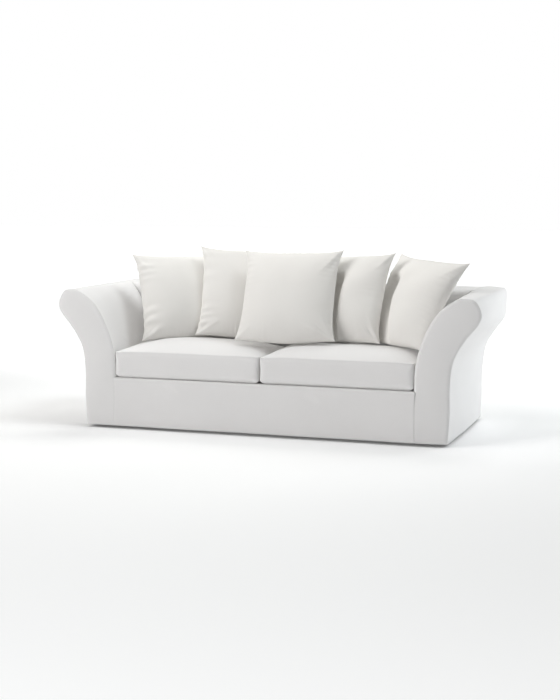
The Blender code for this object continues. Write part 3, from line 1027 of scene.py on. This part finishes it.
SEAT_STEPS = (64, 40, 14)
SEAT_EVEN = 0.72  # how evenly those are spread
SEAT_PRESSURE = 1.5
SEAT_REACH = 0.004
SEAT_SHORTER = 0.004  # how far its front and rear stay inside its plain solid
SEAT_LIP = 0.0032  # how far the border is drawn in right under its top seam
SEAT_LIP_BELOW = 0.007  # how far under the seam that is
SEAT_LIP_WIDTH = 0.006
SEAT_WANDER = 0.0012  # how far that seam strays from a straight line
SEAT_LEEWAY = 0.0015  # left between a seat cushion and what lies on it
SEAT_PROUD = 0.001  # how far it may reach past the front panel
SEAT_LAST = 0.9999  # past this share a point is on the last side
SEAT_FOOT = 1.2  # height of the round at the border's foot, in radii
SEAT_CROWN_ALONG = 2.4  # how square the crown is from front to rear
SEAT_CROWN_ACROSS = 10  # and from side to side
SEAT_CROWN_ROUND = 0.8
CREST_STEPS = 12
SEAM_WAVES = (5, 3.5)  # number and rate of the waves in the top seam
GATHERS_ON_TOP = 0.05  # how far in from the seam the gathers reach, in shares of half a side
GATHERS_ON_BORDER = 0.22
SEAT_SEEDS = {"seat_cushion_left": 38, "seat_cushion_right": 39}
SEAT_PUCKERS = {
    # name: where along the cushion, over what share, how many waves in its length, and their size
    "seat_cushion_left": (
        (0.12, 0.06, 26, 0.0007),
        (0.62, 0.10, 22, 0.0006),
        (0.93, 0.05, 28, 0.0010),
    ),
    "seat_cushion_right": (
        (0.30, 0.10, 24, 0.0007),
        (0.72, 0.08, 24, 0.0006),
        (0.92, 0.07, 30, 0.0014),
    ),
}


def seat_lattice(steps):
    """Numbers the points on the outside of a box of steps."""
    number = {}
    place = []
    spans = [even_then_close(count, SEAT_EVEN) for count in steps]
    for i, u in enumerate(spans[0]):
        for j, v in enumerate(spans[1]):
            for k, w in enumerate(spans[2]):
                on_skin = i in (0, steps[0]) or j in (0, steps[1]) or k in (0, steps[2])
                if on_skin:
                    number[i, j, k] = len(place)
                    place.append((u, v, w))
    return number, np.array(place)


def seat_faces(number, steps, half_x, half_y, height):
    """Quads on the six sides, each with its own stretch of the UV map."""
    nx, ny, nz = steps
    spans = [even_then_close(count, SEAT_EVEN) for count in steps]
    sizes = (half_x, half_y, height / 2)
    faces, uvs = [], []
    sides = ((0, 0), (0, nx), (1, 0), (1, ny), (2, 0), (2, nz))
    for order, (axis, at) in enumerate(sides):
        one, two = [other for other in (0, 1, 2) if other != axis]
        outward = (at != 0) != (axis == 1)
        for p in range(steps[one]):
            for q in range(steps[two]):
                around = [(p, q), (p + 1, q), (p + 1, q + 1), (p, q + 1)]
                if not outward:
                    around.reverse()
                loop = []
                for a, b in around:
                    key = [0, 0, 0]
                    key[axis], key[one], key[two] = at, a, b
                    loop.append(number[tuple(key)])
                    u = spans[one][a] * sizes[one] + order * UV_APART
                    uvs.append((u, spans[two][b] * sizes[two]))
                faces.append(loop)
    return faces, uvs


def rounded_plan(u, v, half_x, half_y, corner):
    """Points of a rectangle with rounded corners, for u and v from -1 to 1."""
    x, y = u * half_x, v * half_y
    over_x = np.abs(x) - (half_x - corner)
    over_y = np.abs(y) - (half_y - corner)
    in_corner = (over_x > 0) & (over_y > 0)
    pull = np.maximum(over_x, over_y) / np.maximum(np.hypot(over_x, over_y), TINY)
    x = np.where(in_corner, np.sign(x) * (half_x - corner + over_x * pull), x)
    y = np.where(in_corner, np.sign(y) * (half_y - corner + over_y * pull), y)
    return x, y


def seat_crest(name, x):
    """The height of a seat cushion's crest at those distances from the middle of the cover."""
    knots = np.array(SEAT_CRESTS[name])
    fine = smooth_steps(knots, CREST_STEPS)
    return np.interp(x, fine[:, 0], fine[:, 1])


def seat_shape(name, place, low, high):
    """A boxed cushion: crowned top, lip along its seam, and a border that turns in at its foot."""
    u, v, w = place.T
    middle = (low + high) / 2
    half_x = (high.x - low.x) / 2 + SEAT_WIDER
    half_y = (high.y - low.y) / 2 - SEAT_SHORTER
    rise = (w + 1) / 2
    height = SEAT_BORDER - low.z
    x, y = rounded_plan(u, v, half_x, half_y, SEAT_CORNER)
    foot = np.clip(1 - rise * height / (SEAT_TUCK * SEAT_FOOT), 0, 1)
    tucked = SEAT_TUCK * (1 - np.sqrt(1 - foot**2))
    below_seam = (1 - rise) * height
    under_seam = np.exp(-(((below_seam - SEAT_LIP_BELOW) / SEAT_LIP_WIDTH) ** 2)) * SEAT_LIP
    drawn = tucked + under_seam
    x = x * (1 - drawn / half_x) + middle.x
    y = y * (1 - drawn / half_y) + middle.y
    to_front = (SEAT_CREST - y) / (SEAT_CREST - low.y)
    to_rear = (y - SEAT_CREST) / (high.y - SEAT_CREST)
    ahead = np.where(y < SEAT_CREST, to_front, to_rear)
    level = 1 - np.clip(ahead, 0, 1) ** SEAT_CROWN_ALONG
    level = np.clip(level * (1 - np.abs(u) ** SEAT_CROWN_ACROSS), 0, 1) ** SEAT_CROWN_ROUND
    wander = uneven(SEAT_SEEDS[name], *SEAM_WAVES)((u + 1) / 2) * SEAT_WANDER
    z = low.z + height * rise + wander * rise**3
    z = z + (seat_crest(name, x) - SEAT_BORDER) * level * (w > SEAT_LAST)
    return np.stack([x, y, z], axis=1)


def seat_puckers(name, place):
    """Small gathers in the top and the border beside the front seam."""
    u, v, w = place.T
    along = (u + 1) / 2
    rise = np.zeros(len(place))
    for middle, width, waves, size in SEAT_PUCKERS[name]:
        near = np.exp(-(((along - middle) / width) ** 2))
        rise += size * near * np.sin(2 * math.pi * waves * (along - middle))
    on_top = np.exp(-(((v + 1) / GATHERS_ON_TOP) ** 2)) * (w > SEAT_LAST)
    on_border = np.exp(-(((1 - w) / GATHERS_ON_BORDER) ** 2)) * (v < -SEAT_LAST) * (w < SEAT_LAST)
    return rise * (on_top + on_border)


LOOK_UP_FROM = SEAT_BORDER - 0.02
LOOK_UP = 0.12


def pressed_under(points, above):
    """Points kept just below what lies on them."""
    pressed = points.copy()
    for index, (x, y, z) in enumerate(points):
        hit = above.ray_cast(Vector((x, y, LOOK_UP_FROM)), Vector((0, 0, 1)), LOOK_UP)[0]
        if hit is not None:
            pressed[index, 2] = min(z, hit.z - SEAT_LEEWAY)
    return pressed


def seat_cushion(name, above):
    """A boxed cushion, filled up and then pressed down under what lies on it."""
    low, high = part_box(name)
    number, place = seat_lattice(SEAT_STEPS)
    half_x, half_y = (high.x - low.x) / 2, (high.y - low.y) / 2
    faces, uvs = seat_faces(number, SEAT_STEPS, half_x, half_y, SEAT_BORDER - low.z)
    start = seat_shape(name, place, low, high)
    nx, ny, nz = SEAT_STEPS
    rim = [(i, j, nz) for i in range(nx + 1) for j in (0, ny)]
    rim += [(i, j, nz) for j in range(ny + 1) for i in (0, nx)]
    seam = {number[key] for key in rim}
    edges = [(a, b) for face in faces for a, b in zip(face, face[1:] + face[:1])]
    seam_edges = [edge for edge in edges if edge[0] in seam and edge[1] in seam]
    mesh = closed_mesh(name + "_filled", start.tolist(), faces, uvs, seam_edges)
    foot = [index for key, index in number.items() if key[2] == 0]
    fill_up(name + "_sim", mesh, sorted(seam) + foot, SEAT_PRESSURE, SEAT_REACH)
    rise = seat_puckers(name, place)
    points = mesh_vectors(mesh) + mesh_vectors(mesh, "normal") * rise[:, None]
    points[:, 1] = np.maximum(points[:, 1], FRONT - SEAT_PROUD)
    top = place[:, 2] > SEAT_LAST
    points[top] = pressed_under(points[top], above)
    points[:, 2] = np.maximum(points[:, 2], low.z)
    set_points(mesh, points)
    finish_cushion(name, mesh, COVER)


# --- Stitches of the hem

HEM_STITCH = 0.022  # height of the stitching above the hem
STITCH_PITCH = 0.0065
STITCH_LENGTH = 0.0036
STITCH_THICKNESS = 0.0006
STITCH_PROUD = 0.0001  # how far the middle of the thread stands off the cloth
STITCH_SHORTEST, STITCH_LONGEST, STITCH_SEED = 0.85, 1.1, 3  # as shares of the length
STITCH_PLACES = 240  # at which a line of stitches is laid on the cloth
HEM_HALF = 0.985  # half the length of the lines along the front and the back
HEM_AWAY = 0.1  # how far outside the cover the cloth is looked for
HEM_LOOK = 0.3  # and how far in from there
HEM_FRONT_CLEAR = 0.03  # left clear at the front of the lines along the sides
HEM_REAR_CLEAR = 0.02
THREAD_LIGHT = (0.84, 0.84, 0.82, 1.0)
THREAD_SHADE = (0.74, 0.74, 0.72, 1.0)
THREAD_TONE = 900.0


def run_on_cloth(cloth, start, end, toward):
    """Points of the cloth that are met from a straight line, looking one way."""
    places = []
    for share in np.linspace(0, 1, STITCH_PLACES):
        origin = Vector(start).lerp(Vector(end), share)
        hit = cloth.ray_cast(origin, Vector(toward), HEM_LOOK)[0]
        if hit is not None:
            places.append(hit - Vector(toward) * STITCH_PROUD)
    return places


def hem_runs(cloth):
    """The line of stitches on each of the four sides, clear of the corners."""
    side, z = ARM_TABLE[0, 2] + HEM_AWAY, HEM_STITCH
    front, rear = FRONT - HEM_AWAY, REAR + HEM_AWAY
    from_y, to_y = FRONT + HEM_FRONT_CLEAR, REAR - HEM_REAR_CLEAR
    return (
        run_on_cloth(cloth, (-HEM_HALF, front, z), (HEM_HALF, front, z), (0, 1, 0)),
        run_on_cloth(cloth, (HEM_HALF, rear, z), (-HEM_HALF, rear, z), (0, -1, 0)),
        run_on_cloth(cloth, (side, from_y, z), (side, to_y, z), (-1, 0, 0)),
        run_on_cloth(cloth, (-side, to_y, z), (-side, from_y, z), (1, 0, 0)),
    )


def stitch_tree(thread):
    """Geometry nodes that set stitches at an even pitch along the edges of a mesh."""
    tree = bpy.data.node_groups.new("running stitch", "GeometryNodeTree")
    sizes = {}
    tree.interface.new_socket("Geometry", in_out="INPUT", socket_type="NodeSocketGeometry")
    for name in ("Pitch", "Length", "Thickness"):
        made = tree.interface.new_socket(name, in_out="INPUT", socket_type="NodeSocketFloat")
        sizes[name] = made.identifier
    tree.interface.new_socket("Geometry", in_out="OUTPUT", socket_type="NodeSocketGeometry")

    def node(kind, settings=None, sockets=None):
        return add_node(tree, kind, settings, sockets)

    given = node("NodeGroupInput").outputs
    path = node("GeometryNodeMeshToCurve", None, {"Mesh": given["Geometry"]}).outputs["Curve"]
    spaced = node(
        "GeometryNodeResampleCurve", {"mode": "LENGTH"}, {"Curve": path, "Length": given["Pitch"]}
    ).outputs["Curve"]
    along = node("GeometryNodeInputTangent").outputs["Tangent"]
    turn = node("FunctionNodeAlignRotationToVector", {"axis": "X"}, {"Vector": along})
    bead = node("GeometryNodeMeshIcoSphere", None, {"Radius": 0.5, "Subdivisions": 1})
    range_of = {2: STITCH_SHORTEST, 3: STITCH_LONGEST, "Seed": STITCH_SEED}
    uneven_length = node("FunctionNodeRandomValue", {"data_type": "FLOAT"}, range_of).outputs[1]
    length = node(
        "ShaderNodeMath", {"operation": "MULTIPLY"}, {0: given["Length"], 1: uneven_length}
    ).outputs[0]
    scale = node(
        "ShaderNodeCombineXYZ", None, {0: length, 1: given["Thickness"], 2: given["Thickness"]}
    ).outputs[0]
    stitches = {
        "Points": spaced,
        "Instance": bead.outputs["Mesh"],
        "Rotation": turn.outputs["Rotation"],
        "Scale": scale,
    }
    placed = node("GeometryNodeInstanceOnPoints", None, stitches).outputs["Instances"]
    real = node("GeometryNodeRealizeInstances", None, {"Geometry": placed}).outputs["Geometry"]
    dressed = node("GeometryNodeSetMaterial", None, {"Geometry": real, "Material": thread})
    tree.links.new(dressed.outputs["Geometry"], node("NodeGroupOutput").inputs["Geometry"])
    return tree, sizes


def sewing_thread():
    paint = Paint("sewing thread")
    place = paint.node("ShaderNodeTexCoord").outputs["Object"]
    colour = paint.blend(paint.noise(place, THREAD_TONE), THREAD_SHADE, THREAD_LIGHT)
    return paint.finish({"Base Color": colour, "Roughness": 0.7})


def hem_stitches(panels):
    """A running stitch round the hem, on the cloth of the panels."""
    points, edges = [], []
    for run in hem_runs(all_faces(panels)):
        edges += [(len(points) + i, len(points) + i + 1) for i in range(len(run) - 1)]
        points += run
    line = bpy.data.meshes.new("hem_line")
    line.from_pydata(points, edges, [])
    sewn = linked("hem_line", line)
    tree, sizes = stitch_tree(sewing_thread())
    sewing = sewn.modifiers.new("stitches", "NODES")
    sewing.node_group = tree
    sewing[sizes["Pitch"]] = STITCH_PITCH
    sewing[sizes["Length"]] = STITCH_LENGTH
    sewing[sizes["Thickness"]] = STITCH_THICKNESS
    depsgraph = bpy.context.evaluated_depsgraph_get()
    mesh = bpy.data.meshes.new_from_object(sewn.evaluated_get(depsgraph))
    bpy.data.objects.remove(sewn)
    mesh.shade_smooth()
    piece = linked("hem_stitches", mesh)
    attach(piece, BODY)


# --- Floor, lights and camera

AZIMUTH = 0.328  # round from the front, and above it, in radians
ELEVATION = 0.122
CAMERA_DISTANCE = 7.624
CAMERA_TARGET = Vector((-0.037, 0.0, 0.391))
CAMERA_ROLL = -0.002
FOCAL_PIXELS = 1375.3
PICTURE_HEIGHT = 700
SENSOR = 36.0


def direction(around, above):
    """The way out from the middle at an angle round from the front and one above the floor."""
    level = math.cos(above)
    return Vector((math.sin(around) * level, -math.cos(around) * level, math.sin(above)))


def add_camera():
    """The camera at the photograph's viewing angle."""
    back = direction(AZIMUTH, ELEVATION)
    right = Vector((0, 0, 1)).cross(back).normalized()
    up = back.cross(right)
    turned_right = math.cos(CAMERA_ROLL) * right + math.sin(CAMERA_ROLL) * up
    turned_up = -math.sin(CAMERA_ROLL) * right + math.cos(CAMERA_ROLL) * up
    data = bpy.data.cameras.new("camera")
    data.sensor_width = SENSOR
    data.lens = FOCAL_PIXELS * SENSOR / PICTURE_HEIGHT
    camera = linked("camera", data)
    rotation = Matrix((turned_right, turned_up, back)).transposed().to_4x4()
    camera.matrix_world = Matrix.Translation(CAMERA_TARGET + back * CAMERA_DISTANCE) @ rotation
    bpy.context.scene.camera = camera


def add_light(name, kind, place, aim):
    light = linked(name, bpy.data.lights.new(name, kind))
    light.location = place
    light.rotation_euler = (Vector(aim) - Vector(place)).to_track_quat("-Z", "Y").to_euler()
    return light.data


PANEL_AIM = (0.0, 0.0, 0.5)
PANEL_SIZE = 1.4
PANELS = (
    # name                place               watts  colour
    ("panel near left", (-2.0, -1.5, 2.5), 18.0, (1.0, 1.0, 0.99)),
    ("panel right", (3.2, 2.0, 1.2), 41.0, (0.94, 0.98, 1.0)),
    ("panel behind left", (-1.5, 1.5, 2.5), 15.0, (1.0, 1.0, 0.97)),
    ("panel overhead", (0.0, -0.5, 3.0), 17.5, (1.0, 1.0, 0.97)),
)
DISTANT_SIZE = math.radians(25)
DISTANT = (
    # name             from the front  height  strength  colour
    ("left window", -48, 24, 0.36, (1.0, 0.985, 0.985)),
    ("right window", 90, 50, 0.26, (0.94, 0.98, 1.0)),
    ("rear window", 180, 60, 0.168, (1.0, 1.0, 0.97)),
    ("rear right window", 150, 45, 0.147, (1.0, 1.0, 1.0)),
)
FLOOR = -0.016  # the hem hangs just clear of the floor
# Painted light: the floor glows though it is no lamp, faintly beside the cover and more further
# from it.
FLOOR_GLOW = 0.06  # keeps the floor white in the picture
FLOOR_GLOW_BEHIND = 0.20  # what it gains with the square of the distance behind the cover
FLOOR_GLOW_AHEAD = 0.02  # and in front of it
FLOOR_MOST_GLOW = 0.60
FLOOR_TONE = (0.95, 0.95, 0.95, 1.0)
FLOOR_REACH = 30.0


def add_panels():
    """Soft studio panels close to the cover."""
    for name, place, watts, colour in PANELS:
        panel = add_light(name, "AREA", place, PANEL_AIM)
        panel.shape = "SQUARE"
        panel.size = PANEL_SIZE
        panel.energy = watts
        panel.color = colour


def add_distant_lights():
    """Broad light from far away, by its angle round from the front and above the floor."""
    for name, around, height, strength, colour in DISTANT:
        place = direction(math.radians(around), math.radians(height))
        sun = add_light(name, "SUN", place, (0.0, 0.0, 0.0))
        sun.angle = DISTANT_SIZE
        sun.energy = strength * math.pi
        sun.color = colour


def add_world():
    """A white surround that the camera sees but that lights nothing."""
    world = bpy.data.worlds.new("studio")
    bpy.context.scene.world = world
    world.use_nodes = True
    tree = world.node_tree
    seen = tree.nodes.new("ShaderNodeLightPath").outputs["Is Camera Ray"]
    surround = tree.nodes["Background"]
    surround.inputs["Color"].default_value = WHITE
    tree.links.new(seen, surround.inputs["Strength"])


def add_stage():
    """A white floor, well past the edges of the picture, with painted light: it glows faintly
    beside the cover and more the further it lies behind or ahead of it, so that it stays white
    where the lamps fall off.
    """
    corners = [(x * FLOOR_REACH, y * FLOOR_REACH) for x, y in ((-1, -1), (1, -1), (1, 1), (-1, 1))]
    mesh = bpy.data.meshes.new("floor")
    mesh.from_pydata([(x, y, FLOOR) for x, y in corners], [], [(0, 1, 2, 3)])
    paint = Paint("floor")
    place = paint.node("ShaderNodeTexCoord").outputs["Object"]
    depth = Wire(paint, paint.node("ShaderNodeSeparateXYZ", None, {0: place}).outputs["Y"])
    behind = (depth - REAR).at_least(0.0)
    ahead = (FRONT - depth).at_least(0.0)
    gain = behind * behind * FLOOR_GLOW_BEHIND + ahead * ahead * FLOOR_GLOW_AHEAD
    glow = (gain + FLOOR_GLOW).at_most(FLOOR_MOST_GLOW)
    # The painted glow goes into the emission; the base colour is the floor's own.
    white = {
        "Emission Color": paint.blend(glow, BLACK, WHITE),
        "Emission Strength": 1.0,
        "Base Color": FLOOR_TONE,
        "Roughness": 1.0,
        "Specular IOR Level": 0.0,
    }
    floor = link_piece("floor", mesh, paint.finish(white))


# --- Putting it together

SIDES = (("left", -1), ("right", 1))
hemmed = [arm_wrap("arm_" + name, side) for name, side in SIDES]
hemmed += [arm_facing("arm_front_" + name, side) for name, side in SIDES]
hemmed += [outside_back(), front_panel()]
hem_stitches(hemmed)
inside_back()
seat_deck()
scattered = [scatter_cushion(*row) for row in SCATTER_CUSHIONS]
for name, _ in SIDES:
    seat_cushion("seat_cushion_" + name, all_faces(scattered))

bpy.context.scene.view_settings.view_transform = "Standard"
add_camera()
add_world()
add_stage()
add_panels()
add_distant_lights()
